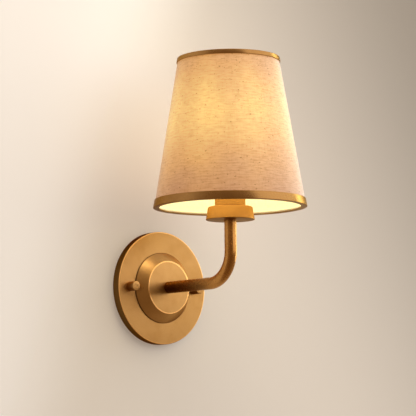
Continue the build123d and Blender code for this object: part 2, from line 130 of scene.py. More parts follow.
class Wire:
    """A shader socket in an expression: arithmetic on it adds the Math nodes."""

    def __init__(self, tree, socket):
        self.tree = tree
        self.socket = socket

    def math(self, operation, *others, clamp=False):
        settings = {"operation": operation, "use_clamp": clamp}
        values = dict(enumerate((self, *others)))
        return add_node(self.tree, "ShaderNodeMath", settings, values)

    def __add__(self, other):
        return self.math("ADD", other)

    __radd__ = __add__

    def __sub__(self, other):
        return self.math("SUBTRACT", other)

    def __rsub__(self, other):
        return self.math("MULTIPLY_ADD", -1.0, other)

    def __mul__(self, other):
        return self.math("MULTIPLY", other)

    __rmul__ = __mul__

    def __truediv__(self, other):
        return self.math("DIVIDE", other)

    def __rtruediv__(self, other):
        return self.math("POWER", -1.0) * other

    def clamped(self):
        return self.math("ADD", 0.0, clamp=True)

    def band(self, start, end):
        """0 before start, 1 after end and smooth between; start may be the larger."""
        return add_node(
            self.tree,
            "ShaderNodeMapRange",
            {"interpolation_type": "SMOOTHSTEP"},
            {0: self, 1: start, 2: end},
        )


def add_node(tree, kind, settings=None, inputs=None, output=0):
    """Adds a node, sets its settings and then its inputs, and returns one output as a Wire."""
    node = tree.nodes.new(kind)
    for name, value in (settings or {}).items():
        if name == "stops":
            ramp = node.color_ramp
            while len(ramp.elements) < len(value):
                ramp.elements.new(0.5)
            for element, (place, colour) in zip(ramp.elements, value):
                element.position = place
                element.color = (*colour, 1.0)
        else:
            setattr(node, name, value)
    for name, value in (inputs or {}).items():
        if isinstance(value, Wire):
            tree.links.new(value.socket, node.inputs[name])
        else:
            node.inputs[name].default_value = value
    return Wire(tree, node.outputs[output])


def mixed(tree, factor, first, second):
    """Two colours mixed by a factor."""
    settings = {"data_type": "RGBA", "blend_type": "MIX"}
    first, second = (c if isinstance(c, Wire) else (*c, 1.0) for c in (first, second))
    return add_node(tree, "ShaderNodeMix", settings, {0: factor, 6: first, 7: second}, 2)


class Finish:
    """A material in the making, with its Principled shader and its Object coordinates."""

    def __init__(self, name):
        self.material = bpy.data.materials.new(name)
        self.material.use_nodes = True
        self.tree = self.material.node_tree
        self.shader = self.tree.nodes["Principled BSDF"]
        self.place = add_node(self.tree, "ShaderNodeTexCoord", output="Object")

    def add(self, kind, settings=None, inputs=None, output=0):
        return add_node(self.tree, kind, settings, inputs, output)

    def centred(self, y=0.0, scale=(1, 1, 1)):
        """Object coordinates from the given depth, scaled."""
        away = {"operation": "SUBTRACT"}
        moved = self.add("ShaderNodeVectorMath", away, {0: self.place, 1: (0, y, 0)})
        return self.add("ShaderNodeVectorMath", {"operation": "MULTIPLY"}, {0: moved, 1: scale})

    def noise(self, where, scale, detail=2.0, roughness=0.5, distortion=0.0):
        """Noise of about one blob per 1/scale metres."""
        values = {
            "Vector": where,
            "Scale": scale,
            "Detail": detail,
            "Roughness": roughness,
            "Distortion": distortion,
        }
        return self.add("ShaderNodeTexNoise", inputs=values)

    def lines(self, along, scale, detail=4.0):
        """Noise that changes with one number only, as turning or brushing marks do."""
        settings = {"noise_dimensions": "1D"}
        return self.add("ShaderNodeTexNoise", settings, {"W": along * scale, "Detail": detail})

    def length(self, vector):
        return self.add("ShaderNodeVectorMath", {"operation": "LENGTH"}, {0: vector}, "Value")

    def split(self, vector, axis):
        return self.add("ShaderNodeSeparateXYZ", inputs={0: vector}, output="XYZ".index(axis))

    def bump(self, height, distance, strength=1.0):
        values = {"Height": height, "Distance": distance, "Strength": strength}
        return self.add("ShaderNodeBump", inputs=values)

    def set(self, **values):
        """Sets the shader's sockets, by names with underscores for spaces."""
        for name, value in values.items():
            socket = self.shader.inputs[name.replace("_", " ")]
            if isinstance(value, Wire):
                self.tree.links.new(value.socket, socket)
            elif isinstance(value, (tuple, list)) and len(value) == 3:
                socket.default_value = (*value, 1.0)
            else:
                socket.default_value = value
        return self.material


def brass(
    name, bright, dark, axis="tube", roughness=0.36, patina=0.5, highlit_edge=None, painted_shade=None,
    edge=(0.78, 0.62, 0.44), coat=0.0,
):
    """Aged brass: brushing round an axis or along a tube, cloudy patina and fine pits.

    axis is "plate" for turning marks round the plate's axis, "lamp" for marks round the lamp's
    axis and "tube" for fine marks with no centre. highlit_edge gives two radii between which the
    rounded edge gets a painted highlight. painted_shade takes the Finish and returns how much
    painted shade each place gets, from 0 to 1.
    edge tints what glances off, and coat is how much clear lacquer lies on top."""
    finish = Finish(name)
    if axis == "plate":
        radius = finish.length(finish.centred(scale=(1, 0, 1)))
        grain = finish.lines(radius, 900.0) * 0.6 + finish.lines(radius, 3600.0) * 0.4
    elif axis == "lamp":
        radius = finish.length(finish.centred(y=LAMP_Y, scale=(1, 1, 0)))
        height = finish.split(finish.place, "Z")
        grain = finish.lines(height + radius, 1100.0) * 0.6 + finish.lines(height, 3900.0) * 0.4
    else:
        fine = finish.noise(finish.centred(scale=(6, 1, 1)), 260.0, 4.0)
        grain = fine * 0.6 + finish.noise(finish.place, 900.0, 2.0) * 0.4
    cloud = finish.noise(finish.place, 28.0, 5.0, 0.6, 0.4)
    speck = finish.noise(finish.place, 420.0, 3.0, 0.7)
    streak = finish.noise(finish.place, 70.0, 4.0, 0.65)
    aged = (cloud.band(0.38, 0.72) * patina + grain.band(0.45, 0.8) * 0.34).clamped()
    pits = speck.band(0.66, 0.78) * 0.5
    colour = mixed(finish.tree, aged, bright, dark)
    colour = mixed(finish.tree, pits, colour, tuple(0.45 * c for c in dark))
    rough = roughness + (grain - 0.5) * 0.16 + aged * 0.1 + pits * 0.2
    # Painted highlight: the rounded edge between the two radii is lighter and a little glossier.
    if highlit_edge is not None:
        inner, outer = highlit_edge
        edge_highlight = radius.band(inner, inner + 0.3 * MM) * radius.band(outer, outer - 0.2 * MM)
        edge_highlight = edge_highlight * (0.6 + cloud * 0.6)
        colour = mixed(finish.tree, edge_highlight.clamped(), colour, tuple(min(1, 1.7 * c) for c in bright))
        rough = rough - edge_highlight * 0.08
    # Painted shade: where the given function says so, the colour goes towards a deep brown.
    if painted_shade is not None:
        colour = mixed(finish.tree, painted_shade(finish), colour, tuple(0.22 * c for c in dark))
    rough = rough + (streak - 0.5) * 0.14
    relief = grain * 0.5 + speck.band(0.5, 0.9) * -0.5 + cloud * 0.4
    return finish.set(
        Base_Color=colour,
        Metallic=1.0,
        Roughness=rough.clamped(),
        Specular_Tint=edge,
        Coat_Weight=coat,
        Coat_Roughness=0.3,
        Normal=finish.bump(relief, 0.05 * MM, 0.55),
    )


def deeper(colour):
    """The browner brass of the arm, the cup and the sleeve."""
    return tuple(part * share for part, share in zip(colour, (0.92, 0.79, 0.60)))


def plain(name, colour, accent, metallic=0.0, roughness=0.5, scale=300.0, coat=0.0, glow=0.0):
    """A small hidden piece's finish: grain, cloudy tone and a little relief."""
    finish = Finish(name)
    grain = finish.noise(finish.place, scale, 4.0, 0.6)
    cloud = finish.noise(finish.place, scale / 9, 2.0)
    tone = (grain.band(0.35, 0.75) * 0.6 + cloud.band(0.4, 0.7) * 0.4).clamped()
    colours = mixed(finish.tree, tone, colour, accent)
    finish.set(
        Base_Color=colours,
        Metallic=metallic,
        Roughness=(roughness + (grain - 0.5) * 0.25).clamped(),
        Coat_Weight=coat,
        Normal=finish.bump(grain, 0.04 * MM, 0.4),
    )
    if glow:
        finish.set(Emission_Color=colours, Emission_Strength=glow)
    return finish.material


def linen(colours):
    """Slubby linen over a lit lamp: a plain weave of uneven threads, flecks and a warm glow.

    The weave follows the cloth's own UV map, which is in metres of cloth."""
    finish = Finish("lit_linen")
    cloth = finish.add("ShaderNodeUVMap", {"uv_map": "cloth"})
    across = finish.split(cloth, "X")
    up = finish.split(cloth, "Y")
    thread = colours.thread_pitch * MM

    def stretched(x, y):
        values = {0: cloth, 1: (x, y, 1.0)}
        return finish.add("ShaderNodeVectorMath", {"operation": "MULTIPLY"}, values)

    weft_slub = finish.noise(stretched(95.0, 620.0), 1.0, 4.0, 0.7)
    warp_slub = finish.noise(stretched(640.0, 80.0), 1.0, 4.0, 0.7)
    fleck = finish.noise(stretched(240.0, 430.0), 1.0, 2.0, 0.6)
    cloud = finish.noise(stretched(28.0, 40.0), 1.0, 4.0)
    sway = finish.noise(stretched(60.0, 60.0), 1.0, 1.0) * 0.5
    warp = ((across / thread + sway) * pi).math("SINE").math("ABSOLUTE")
    weft = ((up / thread + sway) * pi).math("SINE").math("ABSOLUTE")
    weave = warp * 0.5 + weft * 0.5
    slub = (weft_slub.band(0.38, 0.72) * 0.75 + warp_slub.band(0.42, 0.74) * 0.26).clamped()
    knot = finish.noise(stretched(330.0, 470.0), 1.0, 0.0)
    dark_fleck = (fleck.band(0.61, 0.72) * 0.4 + knot.band(0.745, 0.80) * 0.8).clamped()

    threads = mixed(finish.tree, slub, colours.linen, colours.slub)
    threads = mixed(finish.tree, dark_fleck, threads, colours.fleck)
    threads = mixed(finish.tree, (cloud.band(0.35, 0.7)) * 0.25, threads, colours.slub)

    # Painted glow, an emission that stands in for the bulb's light through the cloth:
    # strongest level with the bulb, with soft lobes round the shade
    height = finish.split(finish.place, "Z")
    level = (height - colours.glow_height * MM) / (colours.glow_spread * MM)
    rise = 1 / (1 + level * level)
    x = finish.split(finish.place, "X")
    y = finish.split(finish.place, "Y") - LAMP_Y
    angle = y.math("ARCTAN2", x)
    lobes = ((angle - radians(colours.glow_turn)) * 8.0).math("COSINE") * 0.5 + 0.5
    uneven = cloud * 0.5 - 0.25
    glow = (rise * (0.86 + lobes * 0.14) + uneven * rise).clamped()
    stops = [
        (0.0, (0.13, 0.035, 0.010)),
        (0.3, (0.24, 0.080, 0.018)),
        (0.62, (0.50, 0.235, 0.050)),
        (1.0, (0.76, 0.480, 0.120)),
    ]
    shine = finish.add("ShaderNodeValToRGB", {"stops": stops}, {0: glow})
    shade = (slub * 0.32 + dark_fleck * 0.4 + (1 - weave) * 0.10).clamped()
    shine = mixed(finish.tree, shade, shine, (0.10, 0.035, 0.01))
    relief = weave * 0.5 + slub * 0.9
    return finish.set(
        Base_Color=threads,
        Roughness=(0.85 + slub * 0.1).clamped(),
        Specular_IOR_Level=0.2,
        Sheen_Weight=0.55,
        Sheen_Roughness=0.4,
        Emission_Color=shine,
        Emission_Strength=colours.glow_strength,
        Normal=finish.bump(relief, 0.16 * MM, 0.8),
    )


def lit_liner():
    """Pale liner sheet, bright where the bulb is near and creamier towards the edges."""
    finish = Finish("lit_liner")
    height = finish.split(finish.place, "Z")
    level = (height - GLOBE_CENTRE) / (70 * MM)
    rise = (1 / (1 + level * level)).clamped()
    fibre = finish.noise(finish.place, 380.0, 4.0, 0.6)
    # Painted light: the liner's emission stands in for the bulb's light falling on it.
    stops = [(0.0, (0.80, 0.62, 0.24)), (0.5, (0.92, 0.80, 0.38)), (1.0, (1.0, 0.93, 0.62))]
    tone = (rise + (fibre - 0.5) * 0.25).clamped()
    shine = finish.add("ShaderNodeValToRGB", {"stops": stops}, {0: tone})
    paper = mixed(finish.tree, fibre, (0.86, 0.78, 0.58), (0.95, 0.9, 0.75))
    return finish.set(
        Base_Color=paper,
        Roughness=(0.55 + fibre * 0.2).clamped(),
        Emission_Color=shine,
        Emission_Strength=0.75,
        Normal=finish.bump(fibre, 0.05 * MM, 0.4),
    )


def clear_glass(name, tint):
    """Thin clear glass with faint streaks in its gloss."""
    finish = Finish(name)
    streak = finish.noise(finish.centred(scale=(1, 1, 4)), 60.0, 3.0)
    return finish.set(
        Base_Color=mixed(finish.tree, streak * 0.4, tint, tuple(0.93 * c for c in tint)),
        Roughness=(streak * 0.06).clamped(),
        Transmission_Weight=1.0,
        IOR=1.45,
        Normal=finish.bump(streak, 0.1 * MM, 0.15),
    )


# Modelling


def rounded(points, radii, steps=5):
    """An outline whose corners, given by their index, are rounded with arcs."""
    made = []
    count = len(points)
    for index, (x, y) in enumerate(points):
        if index not in radii:
            made.append((x, y))
            continue
        here = Vector((x, y))
        before = (Vector(points[index - 1]) - here).normalized()
        after = (Vector(points[(index + 1) % count]) - here).normalized()
        half = before.angle(after) / 2
        centre = here + (before + after).normalized() * radii[index] / sin(half)
        reach = radii[index] / tan(half)
        start = here + before * reach - centre
        end = here + after * reach - centre
        sweep = atan2(start.x * end.y - start.y * end.x, start.dot(end))
        for step in range(steps + 1):
            turn = Matrix.Rotation(sweep * step / steps, 2)
            made.append(tuple(centre + turn @ start))
    return made


def deselect():
    if bpy.context.object and bpy.context.object.mode == "EDIT":
        bpy.ops.object.mode_set(mode="OBJECT")
    bpy.ops.object.select_all(action="DESELECT")


def turned(name, outline, facets=160, closed=True):
    """A piece turned about +Z: a circle drawn on from point to point of a (radius, height) outline."""
    deselect()
    radius, height = outline[0]
    bpy.ops.mesh.primitive_circle_add(vertices=facets, radius=radius, location=(0, 0, height))
    piece = bpy.context.object
    piece.name = name
    bpy.ops.object.transform_apply(location=True, rotation=True, scale=True)
    bpy.ops.object.mode_set(mode="EDIT")
    bpy.ops.mesh.select_all(action="SELECT")
    way = outline[1:] + ([outline[0]] if closed else [])
    for next_radius, next_height in way:
        step = {"value": (0, 0, next_height - height)}
        bpy.ops.mesh.extrude_region_move(TRANSFORM_OT_translate=step)
        next_radius = max(next_radius, SMALLEST_RADIUS)
        share = next_radius / radius
        centre = (0, 0, next_height)
        bpy.ops.transform.resize(value=(share, share, 1), center_override=centre)
        radius, height = next_radius, next_height
    bpy.ops.mesh.select_all(action="SELECT")
    bpy.ops.mesh.remove_doubles(threshold=MERGE_DISTANCE)
    bpy.ops.mesh.normals_make_consistent(inside=False)
    bpy.ops.object.mode_set(mode="OBJECT")
    return piece


def settle(piece, where=(0, 0, 0), tilt=0.0):
    """Puts a piece in its place for good and smooths its gentle angles."""
    deselect()
    piece.select_set(True)
    bpy.context.view_layer.objects.active = piece
    piece.rotation_euler = (tilt, 0, 0)
    piece.location = where
    bpy.ops.object.transform_apply(location=True, rotation=True, scale=True)
    bpy.ops.object.shade_smooth_by_angle(angle=radians(SMOOTH_ANGLE))
    return piece


def on_wall(piece, x=0.0, z=0.0):
    """Turns a piece made along +Z so that it stands out from the wall."""
    return settle(piece, (x, 0, z), pi / 2)


def on_lamp(piece):
    """Moves a piece made round +Z to the lamp's axis."""
    return settle(piece, (0, LAMP_Y, 0))


def apply_modifier(piece, kind, **settings):
    deselect()
    piece.select_set(True)
    bpy.context.view_layer.objects.active = piece
    bpy.ops.object.modifier_add(type=kind)
    modifier = piece.modifiers[-1]
    for name, value in settings.items():
        setattr(modifier, name, value)
    bpy.ops.object.modifier_apply(modifier=modifier.name)


def dress(piece, material):
    piece.data.materials.clear()
    piece.data.materials.append(material)


def stand_for(piece, body, node, material):
    """The finished piece takes the node's place, rides its body and gets its material."""
    dress(piece, material)
    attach(piece, body)
    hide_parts(node)


def shade_radius(height, inset):
    return SHADE_LOW_RADIUS - SLOPE * (height - SHADE_LOW) - inset


class LightSizes(PropertyGroup):
    """Fineness of the modelled pieces and of the cloth."""

    facets: IntProperty(
        name="Facets", description="Sides of a large turned piece", default=192, min=48, max=512
    )
    rows: IntProperty(
        name="Cloth rows", description="Rows of faces up the shade", default=48, min=8, max=128
    )
    sway: FloatProperty(
        name="Cloth unevenness",
        description="How far the linen leaves a true cone",
        default=0.10 * MM,
        unit="LENGTH",
    )


class LightColours(PropertyGroup):
    """Colours of the finishes, and the lamp's glow on the linen."""

    brass_bright: FloatVectorProperty(
        name="Brass", description="Polished parts of the brass", subtype="COLOR", size=3,
        default=(0.54, 0.31, 0.112),
    )
    brass_dark: FloatVectorProperty(
        name="Patina", description="Aged parts of the brass", subtype="COLOR", size=3,
        default=(0.36, 0.17, 0.044),
    )
    trim_bright: FloatVectorProperty(
        name="Trim", description="The shade's metal bands", subtype="COLOR", size=3,
        default=(0.36, 0.19, 0.06),
    )
    trim_dark: FloatVectorProperty(
        name="Trim patina", description="Aged parts of the bands", subtype="COLOR", size=3,
        default=(0.20, 0.09, 0.022),
    )
    linen: FloatVectorProperty(
        name="Linen", description="The cloth's threads", subtype="COLOR", size=3,
        default=(0.57, 0.455, 0.36),
    )
    slub: FloatVectorProperty(
        name="Slubs", description="Thicker threads", subtype="COLOR", size=3,
        default=(0.41, 0.275, 0.185),
    )
    fleck: FloatVectorProperty(
        name="Flecks", description="Dark flecks in the threads", subtype="COLOR", size=3,
        default=(0.25, 0.155, 0.09),
    )
    thread_pitch: FloatProperty(
        name="Thread pitch", description="Millimetres from thread to thread", default=0.62
    )
    glow_height: FloatProperty(
        name="Glow height", description="Millimetres from the origin to the glow", default=171.0
    )
    glow_spread: FloatProperty(
        name="Glow spread", description="Millimetres in which the glow halves", default=66.0
    )
    glow_turn: FloatProperty(
        name="Glow turn", description="Degrees from +X to a lobe of the glow", default=-109.1
    )
    glow_strength: FloatProperty(
        name="Glow strength", description="Strength of the linen's emission", default=1.07
    )


class WALLLIGHT_OT_stage(Operator):
    """Adds the camera, wall, floor, lamps and world"""

    bl_idname = "wall_light.stage"
    bl_label = "Stage"

    def execute(self, context):
        self.camera(context)
        self.backdrop()
        self.lamps()
        self.world(context)
        context.scene.view_settings.view_transform = "Standard"
        return {"FINISHED"}

    def camera(self, context):
        azimuth, elevation, roll = radians(-41.609), radians(-6.612), radians(-0.639)
        distance = 2.1147
        focal_pixels = 1989.1
        target = Vector((21.95 * MM, LAMP_Y / 2, 83.03 * MM))
        back = Vector(
            (sin(azimuth) * cos(elevation), -cos(azimuth) * cos(elevation), sin(elevation))
        )
        level = (-back).cross(Vector((0, 0, 1))).normalized()
        upright = level.cross(-back)
        right = level * cos(roll) + upright * sin(roll)
        up = upright * cos(roll) - level * sin(roll)
        turn = Matrix((right, up, back)).transposed()
        deselect()
        bpy.ops.object.camera_add(location=target + back * distance, rotation=turn.to_euler())
        camera = context.object
        camera.data.sensor_width = SENSOR
        camera.data.lens = SENSOR * focal_pixels / IMAGE_SIZE
        camera.data.clip_end = 50.0
        context.scene.camera = camera

    def backdrop(self):
        """Wall and floor: each is seen from one side, so that views from behind show the light."""
        finish = Finish("pale_plaster")
        grain = finish.noise(finish.place, 90.0, 4.0, 0.6)
        x = finish.split(finish.place, "X")
        z = finish.split(finish.place, "Z")
        # Painted light and shade on the wall: lighter to the left and upper left, darker to the right
        # and upper right.
        right = (x + z * 0.6).band(0.10, 0.72)
        left = (z * 0.4 - x).band(0.03, 0.20)
        backdrop_look = mixed(finish.tree, right, (0.665, 0.63, 0.58), (0.25, 0.225, 0.195))
        backdrop_look = mixed(finish.tree, left, backdrop_look, (0.86, 0.86, 0.85))
        backdrop_look = mixed(finish.tree, grain * 0.05, backdrop_look, (0.5, 0.43, 0.35))
        # The wall also glows with its own colours at a low strength, painted light that makes shadows
        # on it fainter.
        finish.set(
            Base_Color=backdrop_look,
            Roughness=0.9,
            Specular_IOR_Level=0.1,
            Emission_Color=backdrop_look,
            Emission_Strength=0.28,
        )
        self.one_sided(finish.material, ("Is Diffuse Ray", "Is Shadow Ray"))
        deselect()
        bpy.ops.mesh.primitive_plane_add(
            size=STAGE_SIZE, location=(0, WALL_GAP, 0), rotation=(pi / 2, 0, 0)
        )
        wall = bpy.context.object
        wall.name = "wall"
        bpy.ops.object.transform_apply(location=True, rotation=True, scale=True)
        dress(wall, finish.material)
        deselect()
        bpy.ops.mesh.primitive_plane_add(size=STAGE_SIZE, location=(0, 0, FLOOR_HEIGHT))
        floor = bpy.context.object
        floor.name = "floor"
        bpy.ops.object.transform_apply(location=True, rotation=True, scale=True)
        backdrop_look = plain("pale_floor", (0.72, 0.67, 0.6), (0.66, 0.61, 0.54), scale=40)
        self.one_sided(backdrop_look, ("Is Diffuse Ray", "Is Shadow Ray", "Is Glossy Ray"))
        dress(floor, backdrop_look)

    def one_sided(self, material, rays):
        """Lets the given kinds of rays, and every ray from behind, pass through the material."""
        tree = material.node_tree
        through = add_node(tree, "ShaderNodeNewGeometry", output="Backfacing")
        for ray in rays:
            through = through.math("MAXIMUM", add_node(tree, "ShaderNodeLightPath", output=ray))
        clear = add_node(tree, "ShaderNodeBsdfTransparent")
        solid = Wire(tree, tree.nodes["Principled BSDF"].outputs[0])
        both = add_node(tree, "ShaderNodeMixShader", None, {0: through, 1: solid, 2: clear})
        tree.links.new(both.socket, tree.nodes["Material Output"].inputs["Surface"])

    def lamps(self):
        """A soft key from the right, a light along the wall, a warm top light and the bulb's own."""
        for name, place, size, power, colour in (
            ("key", (0.75, -1.20, 0.95), 2.2, 20.0, (1.0, 0.97, 0.94)),
            ("side", (1.60, 0.15, 0.35), 1.2, 35.0, (0.86, 0.95, 1.0)),
            ("top", (-0.35, -0.55, 1.5), 0.7, 6.0, (1.0, 0.86, 0.62)),
        ):
            deselect()
            aim = (Vector(place) - Vector((0, LAMP_Y / 2, 0.1))).to_track_quat("Z", "Y")
            bpy.ops.object.light_add(type="AREA", location=place, rotation=aim.to_euler())
            lamp = bpy.context.object
            lamp.name = name
            lamp.data.size = size
            lamp.data.energy = power
            lamp.data.color = colour
        deselect()
        bpy.ops.object.light_add(type="POINT", location=(0, LAMP_Y, GLOBE_CENTRE), radius=0.02)
        bulb = bpy.context.object
        bulb.name = "bulb_light"
        bulb.data.energy = 0.10
        bulb.data.color = (1.0, 0.72, 0.40)

    def world(self, context):
        """A room for the metal to show: pale behind the wall and on the right, brown in front."""
        world = bpy.data.worlds.new("room")
        context.scene.world = world
        world.use_nodes = True
        tree = world.node_tree
        way = add_node(tree, "ShaderNodeTexCoord", output="Generated")
        pale = (0.37, 0.66, 0.40)
        values = {0: way, 1: pale}
        facing = add_node(tree, "ShaderNodeVectorMath", {"operation": "DOT_PRODUCT"}, values, "Value")
        stops = [
            (0.0, (0.18, 0.105, 0.045)),
            (0.2, (0.34, 0.22, 0.12)),
            (0.4, (0.46, 0.34, 0.23)),
            (0.66, (0.56, 0.50, 0.43)),
            (0.9, (0.85, 0.80, 0.74)),
        ]
        tone = add_node(tree, "ShaderNodeValToRGB", {"stops": stops}, {0: facing * 0.5 + 0.5})
        tree.links.new(tone.socket, tree.nodes["Background"].inputs["Color"])


class WALLLIGHT_OT_wall_plate(Operator):
    """Turns the round wall plate and its conical boss"""

    bl_idname = "wall_light.wall_plate"
    bl_label = "Wall plate and boss"

    def execute(self, context):
        sizes, colours = context.scene.light_sizes, context.scene.light_colours

        # Painted shade: the rim's outer face is darkened all round, and the plate's upper half is made
        # a little browner.
        def rim(finish):
            radius = finish.length(finish.centred(scale=(1, 0, 1)))
            edge = radius.band(PLATE_RADIUS - 0.25 * MM, PLATE_RADIUS - 0.05 * MM)
            upper = finish.split(finish.place, "Z").band(5 * MM, 55 * MM)
            return (edge * 0.8 + upper * 0.12).clamped()

        # Painted highlight along the plate's rounded front edge.
        highlit_edge = (PLATE_RADIUS - 1.3 * MM, PLATE_RADIUS - 0.2 * MM)
        finish = brass(
            "plate_brass", colours.brass_bright, colours.brass_dark, "plate", 0.38, 0.35, highlit_edge, rim,
            edge=(0.48, 0.30, 0.11),
        )
        outline = rounded(
            [
                (ARM_BORE, PLATE_DEPTH),
                (PLATE_RADIUS, PLATE_DEPTH),
                (PLATE_RADIUS, 0),
                (PLATE_RADIUS - SHEET_WALL, 0),
                (PLATE_RADIUS - SHEET_WALL, PLATE_DEPTH - SHEET_WALL),
                (ARM_BORE, PLATE_DEPTH - SHEET_WALL),
            ],
            {1: 1.0 * MM, 4: 0.5 * MM},
            8,
        )
        plate = on_wall(turned("wall_plate", outline, sizes.facets))
        stand_for(plate, "fixture", "backplate", finish)

        lean = (BOSS_RADIUS - BOSS_FACE_RADIUS) / (BOSS_FACE - PLATE_DEPTH)
        thick = SHEET_WALL * sqrt(1 + lean**2)
        inner = BOSS_FACE_RADIUS - thick + SHEET_WALL * lean
        groove = 0.35 * MM
        outline = rounded(
            [
                (ARM_BORE, BOSS_FACE),
                (BOSS_FACE_RADIUS, BOSS_FACE),
                (BOSS_RADIUS, PLATE_DEPTH + 0.9 * MM),
                (BOSS_RADIUS, PLATE_DEPTH + groove),
                (BOSS_RADIUS - 1.2 * MM, PLATE_DEPTH + groove),
                (BOSS_RADIUS - 1.2 * MM, PLATE_DEPTH),
                (BOSS_RADIUS - thick, PLATE_DEPTH),
                (inner, BOSS_FACE - SHEET_WALL),
                (ARM_BORE, BOSS_FACE - SHEET_WALL),
            ],
            {1: 0.8 * MM, 2: 0.4 * MM},
            6,
        )
        boss = on_wall(turned("plate_boss", outline, sizes.facets))

        # Painted shade in the corner where the boss's foot meets the plate.
        def foot(finish):
            depth = finish.split(finish.place, "Y") * -1.0
            return depth.band(PLATE_DEPTH + 1.8 * MM, PLATE_DEPTH + 0.5 * MM) * 0.9

        # Painted highlight along the boss's rounded face edge.
        highlit_edge = (BOSS_FACE_RADIUS - 1.3 * MM, BOSS_FACE_RADIUS + 0.3 * MM)
        finish = brass(
            "boss_brass", colours.brass_bright, colours.brass_dark, "plate", 0.36, 0.35, highlit_edge, foot
        )
        stand_for(boss, "fixture", "boss", finish)
        return {"FINISHED"}


class WALLLIGHT_OT_thumb_nuts(Operator):
    """Turns one smooth thumb nut and copies it to the other stud"""

    bl_idname = "wall_light.thumb_nuts"
    bl_label = "Thumb nuts"

    def execute(self, context):
        colours = context.scene.light_colours
        radius = (nut_high.x - nut_low.x) / 2
        end = -nut_low.y

        # Painted shade: the nut's side is darker than its lit face.
        def side_wall(finish):
            depth = finish.split(finish.place, "Y") * -1.0
            return depth.band(end - 0.2 * MM, end - 0.7 * MM) * 0.35

        finish = brass(
            "nut_brass", colours.brass_bright, colours.brass_dark, "tube", 0.34,
            painted_shade=side_wall,
        )
        outline = rounded(
            [
                (0, end - 0.25 * MM),
                (1.5 * MM, end - 0.25 * MM),
                (1.9 * MM, end),
                (radius, end),
                (radius, PLATE_DEPTH),
                (STUD_BORE, PLATE_DEPTH),
                (STUD_BORE, PLATE_DEPTH + STUD_DEPTH),
                (0, PLATE_DEPTH + STUD_DEPTH),
            ],
            {3: 0.5 * MM, 4: 0.2 * MM},
            4,
        )
        ordered = outline[1:] + outline[:1]
        for side in ("left", "right"):
            low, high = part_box(f"{side}_thumb_nut")
            nut = turned(f"{side}_knob", ordered, 64, closed=False)
            cap_ring(nut, (0, 0, end - 0.25 * MM))
            nut = on_wall(nut, (low.x + high.x) / 2, (low.z + high.z) / 2)
            stand_for(nut, f"{side}_nut", f"{side}_thumb_nut", finish)
        return {"FINISHED"}


def cap_ring(piece, centre):
    """Closes the first ring that turned() left open, with a fan to its middle; centre is not used."""
    deselect()
    piece.select_set(True)
    bpy.context.view_layer.objects.active = piece
    bpy.ops.object.mode_set(mode="EDIT")
    bpy.ops.mesh.select_all(action="DESELECT")
    bpy.ops.mesh.select_mode(type="EDGE")
    bpy.ops.mesh.select_non_manifold()
    bpy.ops.mesh.edge_face_add()
    bpy.ops.mesh.poke()
    bpy.ops.mesh.select_all(action="SELECT")
    bpy.ops.mesh.remove_doubles(threshold=MERGE_DISTANCE)
    bpy.ops.mesh.normals_make_consistent(inside=False)
    bpy.ops.mesh.select_mode(type="VERT")
    bpy.ops.object.mode_set(mode="OBJECT")


class WALLLIGHT_OT_arm(Operator):
    """Draws the arm out of the boss, bends it and draws it up to the cup"""

    bl_idname = "wall_light.arm"
    bl_label = "Bent arm"

    def execute(self, context):
        colours = context.scene.light_colours

        # Painted shade: the arm's level run is darker, most of all underneath and near its root at the
        # boss.
        def underside(finish):
            height = finish.split(finish.place, "Z")
            out = finish.split(finish.place, "Y") * -1.0
            level = out.band(-LAMP_Y - ARM_BEND + 12 * MM, -LAMP_Y - ARM_BEND - 12 * MM)
            root = out.band(BOSS_FACE + 40 * MM, BOSS_FACE + 6 * MM)
            below = height.band(5 * MM, -4 * MM) * 0.35
            return (level * (below + root * 0.32 + 0.22) + 0.02).clamped()

        finish = brass(
            "arm_brass", deeper(colours.brass_bright), deeper(colours.brass_dark), "tube", 0.25, 0.4,
            painted_shade=underside, edge=(1.0, 0.90, 0.74),
        )
        deselect()
        bpy.ops.mesh.primitive_circle_add(
            vertices=64, radius=ARM_RADIUS, location=(0, -BOSS_FACE, 0), rotation=(pi / 2, 0, 0)
        )
        arm = context.object
        arm.name = "bent_arm"
        bpy.ops.object.transform_apply(location=True, rotation=True, scale=True)
        bpy.ops.object.mode_set(mode="EDIT")
        bpy.ops.mesh.select_all(action="SELECT")
        straight = LAMP_Y + ARM_BEND + BOSS_FACE
        for step in range(8):
            move = {"value": (0, straight / 8, 0)}
            bpy.ops.mesh.extrude_region_move(TRANSFORM_OT_translate=move)
        bpy.ops.mesh.spin(
            steps=32, angle=pi / 2, center=(0, LAMP_Y + ARM_BEND, ARM_BEND), axis=(1, 0, 0)
        )
        for step in range(6):
            move = {"value": (0, 0, (ARM_TOP - ARM_BEND) / 6)}
            bpy.ops.mesh.extrude_region_move(TRANSFORM_OT_translate=move)
        bpy.ops.mesh.select_all(action="SELECT")
        bpy.ops.mesh.remove_doubles(threshold=MERGE_DISTANCE)
        bpy.ops.mesh.normals_make_consistent(inside=False)
        bpy.ops.object.mode_set(mode="OBJECT")
        apply_modifier(arm, "SOLIDIFY", thickness=ARM_RADIUS - ARM_BORE, offset=-1.0)
        settle(arm)
        stand_for(arm, "fixture", "arm_tube", finish)
        return {"FINISHED"}


